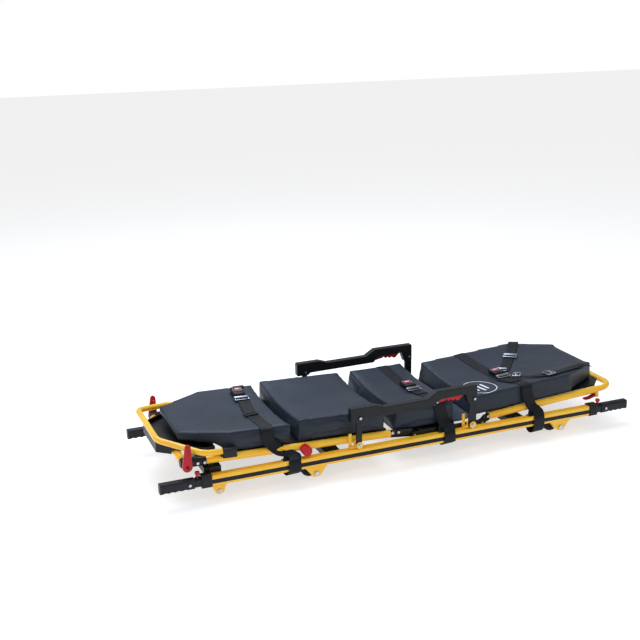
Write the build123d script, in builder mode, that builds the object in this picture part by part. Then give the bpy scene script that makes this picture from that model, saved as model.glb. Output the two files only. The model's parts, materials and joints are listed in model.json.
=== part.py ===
"""Stretcher top with raisable leg section and backrest, folding side guards, telescopic handles and belts.

Millimetres, +Z up, foot end towards -X, head end towards +X, the patient's left towards -Y.
The origin is on the floor, in the middle of the footprint.
"""
from build123d import *
import os
from math import cos, radians, tan

os.makedirs("parts", exist_ok=True)

# Overall sizes
overall_length = 1950
rail_spacing = 528
rail_bottom = 64
running_gap = 0.05
body_gap = 0.5

# Lower rails, collars and handles
rail_width = 30
rail_height = 40
rail_wall = 2.5
groove_depth = 3
groove_height = 16
groove_below_middle = 2
insert_gap = 0.1
collar_length = 37
collar_over = 3
nose_length = 23
nose_height = 30
nose_width = 26
grip_gap = 2
grip_length = 123
grip_width = 30
grip_height = 38
handle_play = 2
handle_in_rail = 210
plunger_radius = 5

# Wheels and rollers under the rails
wheel_radius = 39
wheel_width = 22
wheel_inboard = 59
wheel_foot_share = 0.5136
wheel_head_share = 0.7176
axle_radius = 5
roller_radius = 14
roller_inset = 27
roller_axle_height = 43
roller_width = 16
roller_pin_radius = 4
bracket_plate = 4

# Deck: hinges, side tubes and pads
hinge_below_rail_top = 1
leg_hinge_x = 18
back_hinge_x = 312
leg_rest_angle = 2.1
back_rest_angle = 3.6
tube_above_rail = 1
tube_radius = 14
tube_wall = 2
back_tube_inset = 5
leg_tube_past_rail = 10
hinge_to_leg_tube = 101
hinge_to_back_tube = 36
head_loop_past_rail = 147
head_join_past_rail = 70
head_loop_bend = 60
pin_radius = 6
eye_radius = 15
side_plate_gap = 1
side_plate_thick = 8
arm_thick = 7
board_thick = 6
pad_side_gap = 1.5
pad_dish = 20
pad_taper = 91
leg_pad_thick = 78
thigh_pad_thick = 89
seat_pad_thick = 102
back_pad_thick = 81
knee_share = 0.594
knee_gap = 26
end_pad_past_tube = 79
leg_taper_length = 194
back_pad_past_rail = 110
back_taper_length = 185

# Cross-members between the rails
foot_member_past_rail = 19
foot_member_width = 62
knee_member_width = 60
seat_member_width = 40
back_member_width = 70
back_member_share = 0.32
member_thick = 24
foot_member_above_rail = 20
back_member_below_rail = 4

# Side guards
foot_post_x = -226.4
head_post_x = 249.6
guard_pivot_above_rail = 15.5
post_length = 109.3
post_thick = 9
foot_post_width = 21
head_post_width = 31
guard_pin_radius = 4
lug_radius = 14
bar_thick = 28
trigger_before_post = 159.6
trigger_above_pivot = 10.2

# Foot loop, end levers and knee lock knob
loop_radius = 11
lever_past_tube = 72
lever_outboard = 27
lever_hub_below_tube = 6
knob_before_knee = 27
knob_stem = 8
fitting_length = 92
fitting_width = 32
clamp_length = 34
release_eye_radius = 6
release_pin_radius = 2.5

# Belts and buckles
belt_thick = 2.5
belt_width = 50
wrap_before_wheel = 131
buckle_width = 46
buckle_long = 62
buckle_high = 17
buckle_reach = buckle_long / 2 + 29

half_length = overall_length / 2
rail_y = rail_spacing / 2
rail_half = half_length - grip_length - grip_gap - nose_length - collar_length
rail_top = rail_bottom + rail_height
rail_middle = rail_bottom + rail_height / 2
rail_outer = rail_y + rail_width / 2
rail_inner = rail_y - rail_width / 2
groove_middle = rail_middle - groove_below_middle
handle_radius = (rail_width - groove_depth - 2 * rail_wall) / 2 - handle_play

# Places along the stretcher, from the rail ends and the hinges
leg_span = rail_half + leg_hinge_x
back_span = rail_half - back_hinge_x
wheel_places = (leg_hinge_x - wheel_foot_share * leg_span, back_hinge_x + wheel_head_share * back_span)
roller_place = -rail_half + roller_inset
knee_x = leg_hinge_x - knee_share * leg_span
knob_x = knee_x + knob_before_knee
leg_tube_start = -rail_half - leg_tube_past_rail
leg_tube_end = leg_hinge_x - hinge_to_leg_tube
back_tube_start = back_hinge_x + hinge_to_back_tube
head_loop_x = rail_half + head_loop_past_rail
head_loop_join = rail_half + head_join_past_rail
foot_low_x = -rail_half - foot_member_past_rail
foot_member = (foot_low_x, foot_low_x + foot_member_width)
knee_low_x = wheel_places[0] + wheel_radius + 8
knee_member = (knee_low_x, knee_low_x + knee_member_width)
seat_low_x = leg_hinge_x + 22
seat_high_x = back_hinge_x - 122
seat_members = ((seat_low_x, seat_low_x + seat_member_width), (seat_high_x - seat_member_width, seat_high_x))
back_member_x = back_hinge_x + back_member_share * back_span
back_member = (back_member_x - back_member_width / 2, back_member_x + back_member_width / 2)
lever_x = leg_tube_start - lever_past_tube
trigger_x = head_post_x - trigger_before_post
seat_belt_x = (seat_low_x + seat_high_x - belt_width) / 2 - 8
wrap_places = (knee_x - 45, seat_belt_x + 42, wheel_places[1] - wrap_before_wheel)

# Places across, from the rails inwards
leg_tube_y = rail_inner - tube_radius
back_tube_y = leg_tube_y - back_tube_inset
side_plate_y = rail_inner - side_plate_gap
arm_outer = side_plate_y - side_plate_thick - body_gap
pad_half_width = arm_outer - arm_thick - pad_side_gap
guard_y = rail_outer - post_thick / 2
lever_y = leg_tube_y + lever_outboard

# Heights, from the rails upwards
hinge_height = rail_top - hinge_below_rail_top
deck_tube_height = rail_top + tube_above_rail + tube_radius
tube_top = deck_tube_height + tube_radius
loop_start_height = tube_top + loop_radius + 1
foot_member_top = rail_top + foot_member_above_rail
back_member_top = rail_top - back_member_below_rail
lever_hub_height = deck_tube_height - lever_hub_below_tube
guard_pivot_height = rail_top + guard_pivot_above_rail
bar_pivot_height = guard_pivot_height + post_length
release_x = head_loop_join - 8
release_z = deck_tube_height - tube_radius - 8
trigger_height = bar_pivot_height + trigger_above_pivot
seat_pad_bottom = hinge_height + eye_radius + 3
leg_pad_top = tube_top + leg_pad_thick
thigh_pad_top = tube_top + thigh_pad_thick
seat_pad_top = seat_pad_bottom + seat_pad_thick
back_pad_top = tube_top + back_pad_thick

# Pad ends
knee_low = knee_x - knee_gap / 2
knee_high = knee_x + knee_gap / 2
thigh_end = leg_tube_end - 17
leg_pad_end = leg_tube_start - end_pad_past_tube
leg_taper_x = leg_pad_end + leg_taper_length
leg_belt_x = (leg_taper_x + knee_low) / 2 - 3
seat_pad_start = leg_tube_end + 17
seat_pad_lean = 21
seat_pad_end = back_hinge_x - 114
back_pad_start = back_hinge_x - 40
back_pad_end = rail_half + back_pad_past_rail
back_taper_x = back_pad_end - back_taper_length
chest_belt_x = back_hinge_x + 168
buckle_places = (leg_belt_x + belt_width / 2, seat_belt_x + belt_width / 2, chest_belt_x + belt_width / 2)
leg_hinge = Axis((leg_hinge_x, 0, hinge_height), (0, 1, 0))
back_hinge = Axis((back_hinge_x, 0, hinge_height), (0, -1, 0))


def resting_height(x, hinge_x, angle):
    """Height of the underside of a tipped side tube at x."""
    below_axis = deck_tube_height - tube_radius - hinge_height
    return hinge_height + abs(x - hinge_x) * tan(radians(angle)) + below_axis / cos(radians(angle))


def save(part, name):
    """Label one finished piece and write it as a STEP file of its own."""
    part.label = name
    export_step(part, f"parts/{name}.step")


def save_leg(part, name):
    """Write a piece of the leg section, tipped onto its stops."""
    save(part.rotate(leg_hinge, leg_rest_angle), name)


def save_back(part, name):
    """Write a piece of the backrest, tipped onto its stops."""
    save(part.rotate(back_hinge, back_rest_angle), name)


def save_pair(part, name, save_one=save):
    """Write a left-hand piece and its mirror image on the right."""
    save_one(part, f"{name}_left")
    save_one(part.mirror(Plane.XZ), f"{name}_right")


def y_plane(y):
    """A sketch plane facing -Y, whose sketch axes are X and Z."""
    return Plane(origin=(0, y, 0), x_dir=(1, 0, 0), z_dir=(0, -1, 0))


def slab(x_low, x_high, y_low, y_high, z_low, z_high, mode=Mode.ADD):
    """A square-cornered block between two corners."""
    middle = ((x_low + x_high) / 2, (y_low + y_high) / 2, (z_low + z_high) / 2)
    with Locations(middle):
        Box(abs(x_high - x_low), abs(y_high - y_low), z_high - z_low, mode=mode)


def y_rod(x, z, y_low, y_high, radius, mode=Mode.ADD):
    """A round rod or hole lying across the stretcher."""
    with Locations(Location((x, (y_low + y_high) / 2, z), (90, 0, 0))):
        Cylinder(radius, y_high - y_low, mode=mode)


def z_rod(x, y, z_low, z_high, radius, mode=Mode.ADD):
    """An upright round rod or hole."""
    with Locations((x, y, (z_low + z_high) / 2)):
        Cylinder(radius, z_high - z_low, mode=mode)


def x_rod(x_low, x_high, y, z, radius, mode=Mode.ADD):
    """A round rod or hole along the stretcher."""
    with Locations(Location(((x_low + x_high) / 2, y, z), (0, 90, 0))):
        Cylinder(radius, x_high - x_low, mode=mode)


def pipe(points, bends, radius, wall):
    """A bent tube along straight runs joined by arcs."""
    with BuildLine() as route:
        FilletPolyline(*points, radius=bends)
    with BuildSketch(Plane(origin=route.line @ 0, z_dir=route.line % 0)) as ring:
        Circle(radius)
        Circle(radius - wall, mode=Mode.SUBTRACT)
    sweep(ring.sketch, path=route.line)


def straight_pipe(x_low, x_high, y, z, radius, wall):
    """A straight tube along the stretcher."""
    with BuildSketch(Plane(origin=(x_low, y, z), z_dir=(1, 0, 0))) as ring:
        Circle(radius)
        Circle(radius - wall, mode=Mode.SUBTRACT)
    extrude(ring.sketch, amount=x_high - x_low)


def rails():
    cavity_outer = rail_outer - groove_depth - rail_wall
    cavity_inner = rail_inner + rail_wall
    with BuildPart() as rail:
        with BuildSketch(Plane.YZ.offset(-rail_half)):
            with Locations((-rail_y, rail_middle)):
                RectangleRounded(rail_width, rail_height, 4)
            with Locations((-rail_outer + groove_depth / 2, groove_middle)):
                Rectangle(groove_depth, groove_height, mode=Mode.SUBTRACT)
            with Locations((-(cavity_outer + cavity_inner) / 2, rail_middle)):
                Rectangle(cavity_outer - cavity_inner, rail_height - 2 * rail_wall, mode=Mode.SUBTRACT)
            with Locations((-rail_y - 6, rail_top), (-rail_y + 6, rail_top)):
                Rectangle(3, 2, mode=Mode.SUBTRACT)
        extrude(amount=2 * rail_half)
    save_pair(rail.part, "rail")


def rail_inserts():
    with BuildPart() as inserts:
        depth = groove_depth - insert_gap
        with BuildSketch(Plane.YZ.offset(-rail_half)):
            with Locations((-rail_outer + depth / 2, groove_middle)):
                Rectangle(depth, groove_height - 2 * insert_gap)
            with GridLocations(1, groove_height / 3, 1, 3):
                with Locations((-rail_outer, groove_middle)):
                    Rectangle(1.6, 3)
        extrude(amount=2 * rail_half)
        mirror(about=Plane.XZ)
    save(inserts.part, "rail_inserts")


def end_collars():
    with BuildPart() as collars:
        low_x = rail_half
        nose_x = low_x + collar_length
        end_x = nose_x + nose_length
        knob_x = nose_x + nose_length / 2
        with BuildSketch(Plane.YZ.offset(low_x)):
            with Locations((-rail_y, rail_middle + 2)):
                RectangleRounded(rail_width + 2 * collar_over, rail_height + 2 * collar_over + 2, 6)
        extrude(amount=collar_length)
        with BuildSketch(Plane.YZ.offset(nose_x)):
            with Locations((-rail_y, rail_middle)):
                RectangleRounded(nose_width, nose_height, 5)
        extrude(amount=nose_length)
        z_rod(knob_x, -rail_y, rail_middle, rail_middle + nose_height / 2 + 6, plunger_radius + 3)
        x_rod(low_x, end_x, -rail_y, rail_middle, handle_radius + running_gap, mode=Mode.SUBTRACT)
        z_rod(knob_x, -rail_y, rail_middle, rail_top + 10, plunger_radius + running_gap, mode=Mode.SUBTRACT)
        mirror(about=Plane.XZ)
        mirror(about=Plane.YZ)
    save(collars.part, "end_collars")


def plungers():
    knob_x = rail_half + collar_length + nose_length / 2
    with BuildPart() as plunger:
        z_rod(knob_x, -rail_y, rail_middle + handle_radius + body_gap, rail_top + 14, plunger_radius)
        z_rod(knob_x, -rail_y, rail_top + 11, rail_top + 21, 9)
        fillet(plunger.edges().group_by(Axis.Z)[-1], 2.5)
    save_pair(plunger.part, "plunger_head")
    save_pair(plunger.part.mirror(Plane.YZ), "plunger_foot")


def handles():
    grip_start = half_length - grip_length
    with BuildPart() as handle:
        straight_pipe(rail_half - handle_in_rail, grip_start, -rail_y, rail_middle, handle_radius, 2)
        with BuildSketch(Plane.YZ.offset(grip_start)):
            with Locations((-rail_y, rail_middle)):
                RectangleRounded(grip_width, grip_height, 8)
        extrude(amount=grip_length)
        finger_middle = grip_start + grip_length / 2 + 8
        with Locations(Location((finger_middle, -rail_y, rail_middle - grip_height / 2 - 8), (90, 0, 0))):
            with GridLocations(23, 1, 4, 1):
                Cylinder(13, grip_width + 2, mode=Mode.SUBTRACT)
        y_rod(grip_start + 18, rail_middle, -rail_y - grip_width / 2 - 3, -rail_y - grip_width / 2 + 1, 5)
    save_pair(handle.part, "handle_head")
    save_pair(handle.part.mirror(Plane.YZ), "handle_foot")


def cross_members():
    collar_x = rail_half - body_gap
    collar_y = rail_inner - collar_over - body_gap
    with BuildPart() as members:
        slab(foot_member[0], foot_member[1], -rail_inner, rail_inner, foot_member_top - member_thick, foot_member_top)
        for y_low, y_high in ((-rail_inner, -rail_inner + 5), (rail_inner - 5, rail_inner)):
            slab(foot_member[0], foot_member[1], y_low, y_high, rail_bottom + 6, foot_member_top)
        slab(foot_member[0] - 1, -collar_x, -rail_inner - 1, -collar_y, rail_bottom, foot_member_top + 1,
             mode=Mode.SUBTRACT)
        slab(foot_member[0] - 1, -collar_x, collar_y, rail_inner + 1, rail_bottom, foot_member_top + 1,
             mode=Mode.SUBTRACT)
        for low_x, high_x in (knee_member, back_member):
            slab(low_x, high_x, -rail_inner, rail_inner, back_member_top - member_thick, back_member_top)
        for low_x, high_x in seat_members:
            slab(low_x, high_x, -rail_inner, rail_inner, rail_bottom, hinge_height - eye_radius)
    save(members.part, "cross_members")


def stop_buffers():
    radius = 9
    leg_x = sum(foot_member) / 2
    back_x = sum(back_member) / 2
    leg_top = resting_height(leg_x + radius, leg_hinge_x, leg_rest_angle) - body_gap
    back_top = resting_height(back_x - radius, back_hinge_x, back_rest_angle) - body_gap
    with BuildPart() as buffers:
        for side in (-1, 1):
            z_rod(leg_x, side * leg_tube_y, foot_member_top, leg_top, radius)
            z_rod(back_x, side * back_tube_y, back_member_top, back_top, radius)
    save(buffers.part, "stop_buffers")


def hanging_plate(top_low, top_high, foot_low, foot_high, low, y):
    """One cheek of a bracket under the rail, narrowing downwards with a rounded foot."""
    with BuildSketch(y_plane(y + bracket_plate)) as cheek:
        with BuildLine():
            Polyline((top_low, rail_bottom), (top_high, rail_bottom), (foot_high, low), (foot_low, low),
                     close=True)
        make_face()
        fillet(cheek.vertices().group_by(Axis.Y)[0], 9)
    extrude(cheek.sketch, amount=bracket_plate)


def wheel_brackets():
    outer = rail_outer - 2
    inner = rail_inner + 2
    with BuildPart() as brackets:
        for y in (-outer, -inner - bracket_plate):
            for x in wheel_places:
                hanging_plate(x - 42, x + 42, x - 13, x + 13, wheel_radius - 13, y)
            hanging_plate(roller_place - 25, roller_place + 25, roller_place - 14, roller_place + 14,
                          roller_axle_height - 10, y)
        for x in wheel_places:
            slab(x - 42, x + 42, -outer, -inner, rail_bottom - 3, rail_bottom)
            y_rod(x, wheel_radius, -outer - 1, -inner + 1, axle_radius + running_gap, mode=Mode.SUBTRACT)
        slab(roller_place - 25, roller_place + 25, -outer, -inner, rail_bottom - 3, rail_bottom)
        y_rod(roller_place, roller_axle_height, -outer - 1, -inner + 1, roller_pin_radius + running_gap,
              mode=Mode.SUBTRACT)
        mirror(about=Plane.XZ)
    save(brackets.part, "wheel_brackets")


def wheels():
    middle_y = rail_y - wheel_inboard
    with BuildPart() as wheel:
        with BuildSketch(y_plane(-middle_y)):
            Circle(wheel_radius)
        extrude(amount=wheel_width / 2, both=True)
        fillet(wheel.edges().filter_by(GeomType.CIRCLE), 5)
        for side in (-1, 1):
            y_rod(0, 0, -middle_y + side * wheel_width / 2 - 4, -middle_y + side * wheel_width / 2 + 4, 25,
                  mode=Mode.SUBTRACT)
        y_rod(0, 0, -middle_y - wheel_width / 2 + 1, -middle_y + wheel_width / 2 - 1, 10)
        y_rod(0, 0, -middle_y - wheel_width, -middle_y + wheel_width, axle_radius + running_gap,
              mode=Mode.SUBTRACT)
    for x, end in zip(wheel_places, ("foot", "head")):
        save_pair(wheel.part.translate((x, 0, wheel_radius)), f"wheel_{end}")


def rollers():
    middle_y = rail_y
    with BuildPart() as pair:
        y_rod(roller_place, roller_axle_height, -middle_y - roller_width / 2, -middle_y + roller_width / 2,
              roller_radius)
        y_rod(roller_place, roller_axle_height, -middle_y - roller_width, -middle_y + roller_width,
              roller_pin_radius + running_gap, mode=Mode.SUBTRACT)
        mirror(about=Plane.XZ)
    save(pair.part, "foot_rollers")


def axles_and_bolts():
    wheel_inner = rail_y - wheel_inboard - wheel_width / 2
    wheel_outer = rail_y - wheel_inboard + wheel_width / 2
    outer = rail_outer - 2
    inner = rail_inner + 2
    with BuildPart() as axles:
        for x in wheel_places:
            y_rod(x, wheel_radius, -outer - 5, -wheel_inner + 8, axle_radius)
            y_rod(x, wheel_radius, -outer - 6, -outer, 8)
            y_rod(x, wheel_radius, -wheel_inner + 1, -wheel_inner + 8, 8)
            y_rod(x, wheel_radius, -inner, -wheel_outer - 1, 8)
        y_rod(roller_place, roller_axle_height, -outer - 4, -inner + 4, roller_pin_radius)
        y_rod(roller_place, roller_axle_height, -outer - 4, -outer, 7)
        y_rod(roller_place, roller_axle_height, -inner, -inner + 4, 7)
        for x in (foot_post_x, head_post_x):
            head_y = -guard_y - post_thick / 2 - body_gap
            y_rod(x, guard_pivot_height, head_y - 5, -guard_y + 20, guard_pin_radius)
            y_rod(x, guard_pivot_height, head_y - 5, head_y, 8)
        plate_inner = side_plate_y - side_plate_thick
        arm_inner = plate_inner - body_gap - arm_thick
        for x in (leg_hinge_x, back_hinge_x):
            y_rod(x, hinge_height, -side_plate_y, -arm_inner + 4, pin_radius)
            y_rod(x, hinge_height, -arm_inner + body_gap, -arm_inner + 4.5, 10)
        mirror(about=Plane.XZ)
    save(axles.part, "axles_and_bolts")


def guard_lugs():
    post_inner = guard_y - post_thick / 2 - body_gap
    with BuildPart() as lugs:
        for x in (foot_post_x, head_post_x):
            with BuildSketch(y_plane(-post_inner + 14)):
                with Locations((x, guard_pivot_height)):
                    Circle(lug_radius)
                with Locations((x, (guard_pivot_height + rail_top) / 2)):
                    Rectangle(2 * lug_radius, guard_pivot_height - rail_top)
                with Locations((x - 22, rail_top + 4)):
                    Rectangle(24, 8)
            extrude(amount=14)
            slab(x - 34, x - 22, -post_inner + 10.5, -post_inner + 14, rail_top, rail_top + 56)
            y_rod(x, guard_pivot_height, -post_inner - 1, -post_inner + 15, guard_pin_radius + running_gap,
                  mode=Mode.SUBTRACT)
        mirror(about=Plane.XZ)
    save(lugs.part, "guard_lugs")


def guard_posts():
    places = (("foot", foot_post_x, foot_post_width), ("head", head_post_x, head_post_width))
    for end, x, width in places:
        with BuildPart() as post:
            with BuildSketch(y_plane(-guard_y + post_thick / 2)):
                with Locations((x, guard_pivot_height + post_length / 2)):
                    SlotCenterToCenter(post_length, width, rotation=90)
            extrude(amount=post_thick)
            for z in (guard_pivot_height, bar_pivot_height):
                y_rod(x, z, -guard_y - post_thick, -guard_y + post_thick, guard_pin_radius + running_gap,
                      mode=Mode.SUBTRACT)
        save_pair(post.part, f"guard_post_{end}")


def guard_bars():
    with BuildPart() as bar:
        foot_end = foot_post_x - foot_post_width - 15.6
        head_end = head_post_x + 12.4
        low = bar_pivot_height - 14
        outline_points = [(foot_end, low), (foot_end, low + 54), (foot_end + 99, low + 54),
                          (foot_end + 135, low + 42), (trigger_x - 43, low + 43), (trigger_x - 2, low + 68),
                          (head_end, low + 67), (head_end, low - 4), (head_end - 36, low - 4),
                          (head_end - 50, low + 37), (trigger_x + 14, low + 33), (trigger_x - 8, low + 11),
                          (foot_end + 58, low + 8), (foot_end + 51, low)]
        with BuildSketch(y_plane(-guard_y + bar_thick / 2)) as outline:
            with BuildLine():
                Polyline(*outline_points, close=True)
            make_face()
            fillet(outline.vertices(), 5)
        extrude(amount=bar_thick)
        fillet(bar.faces().filter_by(Axis.Y).edges(), 3)
        slot_half = post_thick / 2 + body_gap
        foot_top = bar_pivot_height + foot_post_width / 2 + 5
        head_top = bar_pivot_height + head_post_width / 2 + 2
        slab(foot_post_x - 14, foot_post_x + 100, -guard_y - slot_half, -guard_y + slot_half, low - 15,
             foot_top, mode=Mode.SUBTRACT)
        slab(head_post_x - head_post_width / 2 - 2.5, head_end + 8, -guard_y - slot_half,
             -guard_y + slot_half, low - 15, head_top, mode=Mode.SUBTRACT)
        slab(trigger_x - 10, head_end - 46, -guard_y - 9, -guard_y + 9, low - 15, low + 58,
             mode=Mode.SUBTRACT)
        for x in (foot_post_x, head_post_x):
            y_rod(x, bar_pivot_height, -guard_y - bar_thick / 2 - 3, -guard_y + bar_thick / 2, guard_pin_radius)
            y_rod(x, bar_pivot_height, -guard_y - bar_thick / 2 - 3, -guard_y - bar_thick / 2, 7)
        y_rod(trigger_x, trigger_height, -guard_y - bar_thick / 2, -guard_y + bar_thick / 2, 2.5)
    save_pair(bar.part, "guard_bar")


def guard_triggers():
    with BuildPart() as trigger:
        with BuildSketch(y_plane(-guard_y + 8)) as blade:
            with BuildLine():
                x = trigger_x
                z = trigger_height
                Polyline((x - 6, z - 6), (x - 6, z + 4), (x + 10, z + 17), (x + 114, z + 21), (x + 116, z + 13),
                         (x + 96, z - 7), (x + 70, z - 5), (x + 30, z - 1), (x + 8, z - 5), close=True)
            make_face()
            fillet(blade.vertices(), 2)
            with Locations((x + 42, z - 3), (x + 60, z - 6), (x + 78, z - 8)):
                Circle(7, mode=Mode.SUBTRACT)
        extrude(amount=16)
        y_rod(trigger_x, trigger_height, -guard_y - 9, -guard_y + 9, 2.5 + running_gap, mode=Mode.SUBTRACT)
    save_pair(trigger.part, "guard_trigger")


def seat_side_plates():
    with BuildPart() as plates:
        with BuildSketch(y_plane(-side_plate_y + side_plate_thick)):
            for x in (leg_hinge_x, back_hinge_x):
                with Locations((x, hinge_height)):
                    Circle(eye_radius)
            with Locations(((leg_hinge_x + back_hinge_x) / 2, hinge_height)):
                Rectangle(back_hinge_x - leg_hinge_x, 2 * eye_radius)
            with Locations((leg_hinge_x, hinge_height), (back_hinge_x, hinge_height)):
                Circle(pin_radius + running_gap, mode=Mode.SUBTRACT)
        extrude(amount=side_plate_thick)
        mirror(about=Plane.XZ)
    save(plates.part, "seat_side_plates")


def hinge_arms(x_pivot, x_tube, tube_y, bolt_places):
    """A pair of flat castings that carry the side tubes out from the hinge pins."""
    outer = arm_outer
    side = 1 if x_tube > x_pivot else -1
    with BuildSketch(y_plane(-outer + arm_thick)) as arm:
        with BuildLine():
            Polyline((x_pivot, hinge_height - eye_radius), (x_pivot + side * 14, hinge_height - 5),
                     (x_tube, deck_tube_height - tube_radius), (x_tube, tube_top),
                     (x_pivot + side * 12, tube_top - 3), (x_pivot, hinge_height + eye_radius), close=True)
        make_face()
        with Locations((x_pivot, hinge_height)):
            Circle(eye_radius)
        with Locations((x_pivot, hinge_height)):
            Circle(pin_radius + running_gap, mode=Mode.SUBTRACT)
    extrude(arm.sketch, amount=arm_thick)
    low_x, high_x = sorted((x_tube, x_tube - side * 3))
    slab(low_x, high_x, -outer, -tube_y + tube_radius, deck_tube_height - tube_radius + 2, tube_top - 2)
    low_x, high_x = sorted((x_tube, x_tube + side * 30))
    x_rod(low_x, high_x, -tube_y, deck_tube_height, tube_radius - tube_wall - insert_gap)
    for x in bolt_places:
        y_rod(x, deck_tube_height + 4, -outer - 4, -outer, 6)
    mirror(about=Plane.XZ)


def leg_section():
    with BuildPart() as frame:
        straight_pipe(leg_tube_start, leg_tube_end, -leg_tube_y, deck_tube_height, tube_radius, tube_wall)
        mirror(about=Plane.XZ)
        y_rod(leg_tube_start - 78, deck_tube_height, -leg_tube_y + tube_radius + 2, leg_tube_y - tube_radius - 2, tube_radius)
        for x in (knee_x - 38, leg_tube_end - 67):
            y_rod(x, deck_tube_height, -leg_tube_y + tube_radius, leg_tube_y - tube_radius,
                  tube_radius - board_thick)
        y_rod(knob_x, deck_tube_height, -leg_tube_y - tube_radius - 1, -leg_tube_y - 8, knob_stem + running_gap,
              mode=Mode.SUBTRACT)
    save_leg(frame.part, "leg_frame")

    with BuildPart() as fittings:
        end_x = leg_tube_start
        loop_x = end_x + 53
        with BuildSketch(Plane.YZ.offset(end_x - fitting_length)):
            with Locations((-leg_tube_y, deck_tube_height)):
                RectangleRounded(fitting_width, fitting_width + 1, 12)
        extrude(amount=fitting_length)
        fillet(fittings.edges().group_by(Axis.X)[0], 6)
        x_rod(end_x, end_x + 40, -leg_tube_y, deck_tube_height, tube_radius - tube_wall - insert_gap)
        for x in (end_x - 33, end_x - 8):
            y_rod(x, deck_tube_height, -leg_tube_y - 20, -leg_tube_y - 15, 5.5)
        slab(loop_x, loop_x + clamp_length, -leg_tube_y - 17, -leg_tube_y, tube_top - 4,
             loop_start_height - loop_radius + 2)
        y_rod(lever_x, lever_hub_height, -lever_y - 9, -leg_tube_y - 10, 5)
        x_rod(end_x, end_x + 100, -leg_tube_y, deck_tube_height, tube_radius + insert_gap,
              mode=Mode.SUBTRACT)
        x_rod(end_x, end_x + 40, -leg_tube_y, deck_tube_height, tube_radius - tube_wall - insert_gap)
        x_rod(end_x + 40, end_x + 100, -leg_tube_y - 5, loop_start_height, loop_radius + insert_gap,
              mode=Mode.SUBTRACT)
        mirror(about=Plane.XZ)
    save_leg(fittings.part, "leg_end_fittings")

    with BuildPart() as arms:
        hinge_arms(leg_hinge_x, leg_tube_end, leg_tube_y, (leg_tube_end + 8, leg_tube_end + 33))
    save_leg(arms.part, "leg_hinge_arms")


def foot_loop():
    start = leg_tube_start
    side = [(start + 87, -leg_tube_y - 5, loop_start_height), (start + 54, -leg_tube_y - 5, loop_start_height),
            (start - 12, -leg_tube_y - 22, tube_top + 21), (start - 152, -leg_tube_y + 80, tube_top + 51)]
    points = side + [(x, -y, z) for x, y, z in reversed(side)]
    with BuildPart() as loop:
        pipe(points, [40, 60, 45, 45, 60, 40], loop_radius, 1.5)
    save_leg(loop.part, "foot_loop")


def tray_outline(x_near, x_far, x_corner, wide, narrow):
    """Plan outline of the tray: square to the corner, then tapering to the foot end."""
    with BuildSketch(Plane.XY.offset(tube_top + 1)) as outline:
        with BuildLine():
            Polyline((x_near, -wide), (x_corner, -wide), (x_far, -narrow), (x_far, narrow), (x_corner, wide),
                     (x_near, wide), close=True)
        make_face()
        fillet(outline.vertices().group_by(Axis.X)[0], 8)
    return outline.sketch


def foot_tray():
    wide = leg_tube_y - tube_radius - 7
    pan_depth = 22
    wall = 4
    narrow = wide - 112
    lip_wide = narrow + 36
    near = leg_tube_start + 42
    far = leg_tube_start - 145
    with BuildPart() as tray:
        extrude(tray_outline(near, far, leg_tube_start, wide, narrow), amount=pan_depth)
        extrude(tray_outline(far + 49, far, far + 48, lip_wide, narrow), amount=-18)
        pan = tray_outline(near - wall, far + wall, leg_tube_start, wide - wall, narrow - wall / 2)
        extrude(pan.translate((0, 0, wall)), amount=pan_depth, mode=Mode.SUBTRACT)
    save_leg(tray.part, "foot_tray")


def end_levers():
    with BuildPart() as lever:
        with BuildSketch(y_plane(-lever_y + 5)):
            with Locations((lever_x, lever_hub_height)):
                Circle(18)
            with Locations((lever_x + 2, lever_hub_height + 72)):
                Circle(10)
            with BuildLine():
                Polyline((lever_x - 17.5, lever_hub_height + 4), (lever_x - 8, lever_hub_height + 73),
                         (lever_x + 12, lever_hub_height + 72), (lever_x + 17.5, lever_hub_height + 4),
                         close=True)
            make_face()
            with Locations((lever_x + 4, lever_hub_height + 62), (lever_x + 3, lever_hub_height + 46)):
                Circle(2.6, mode=Mode.SUBTRACT)
        extrude(amount=10)
        fillet(lever.faces().sort_by(Axis.Y)[0].outer_wire().edges(), 2)
        y_rod(lever_x, lever_hub_height, -lever_y - 6, -lever_y + 6, 5 + running_gap, mode=Mode.SUBTRACT)
    save_pair(lever.part, "end_lever", save_leg)


def knee_knob():
    with BuildPart() as knob:
        inner = leg_tube_y + 19
        y_rod(knob_x, deck_tube_height, -inner - 37, -inner, 20)
        fillet(knob.edges().filter_by(GeomType.CIRCLE), 4)
        y_rod(knob_x, deck_tube_height, -inner - 1, -leg_tube_y + 5, knob_stem)
    save_leg(knob.part, "knee_knob")


def dished_block(x_low, x_high, low, top):
    """A pad with flat sides and a top that dips towards the middle."""
    with BuildSketch(Plane.YZ.offset(x_low)) as section:
        with BuildLine():
            Polyline((pad_half_width, top), (pad_half_width, low), (-pad_half_width, low),
                     (-pad_half_width, top))
            ThreePointArc((-pad_half_width, top), (0, top - pad_dish), (pad_half_width, top))
        make_face()
    extrude(section.sketch, amount=x_high - x_low)


def dish_height(y, top):
    """Height of the dished top at a distance from the middle."""
    return top - pad_dish * (1 - (y / pad_half_width) ** 2)


def taper_cut(x_square, x_corner, x_end, low):
    """Trim a pad to a plan that narrows towards its far end."""
    wide = pad_half_width + 9
    narrow = pad_half_width - pad_taper
    with BuildSketch(Plane.XY.offset(low)) as plan:
        with BuildLine():
            Polyline((x_square, -wide), (x_corner, -wide), (x_end, -narrow), (x_end, narrow), (x_corner, wide),
                     (x_square, wide), close=True)
        make_face()
    extrude(plan.sketch, amount=100, mode=Mode.INTERSECT)


def side_cut(points, mode):
    """Trim a pad to, or by, an outline seen from the side."""
    width = pad_half_width + 19
    with BuildSketch(y_plane(width)) as outline:
        with BuildLine():
            Polyline(*points, close=True)
        make_face()
    extrude(outline.sketch, amount=2 * width, mode=mode)


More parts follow.
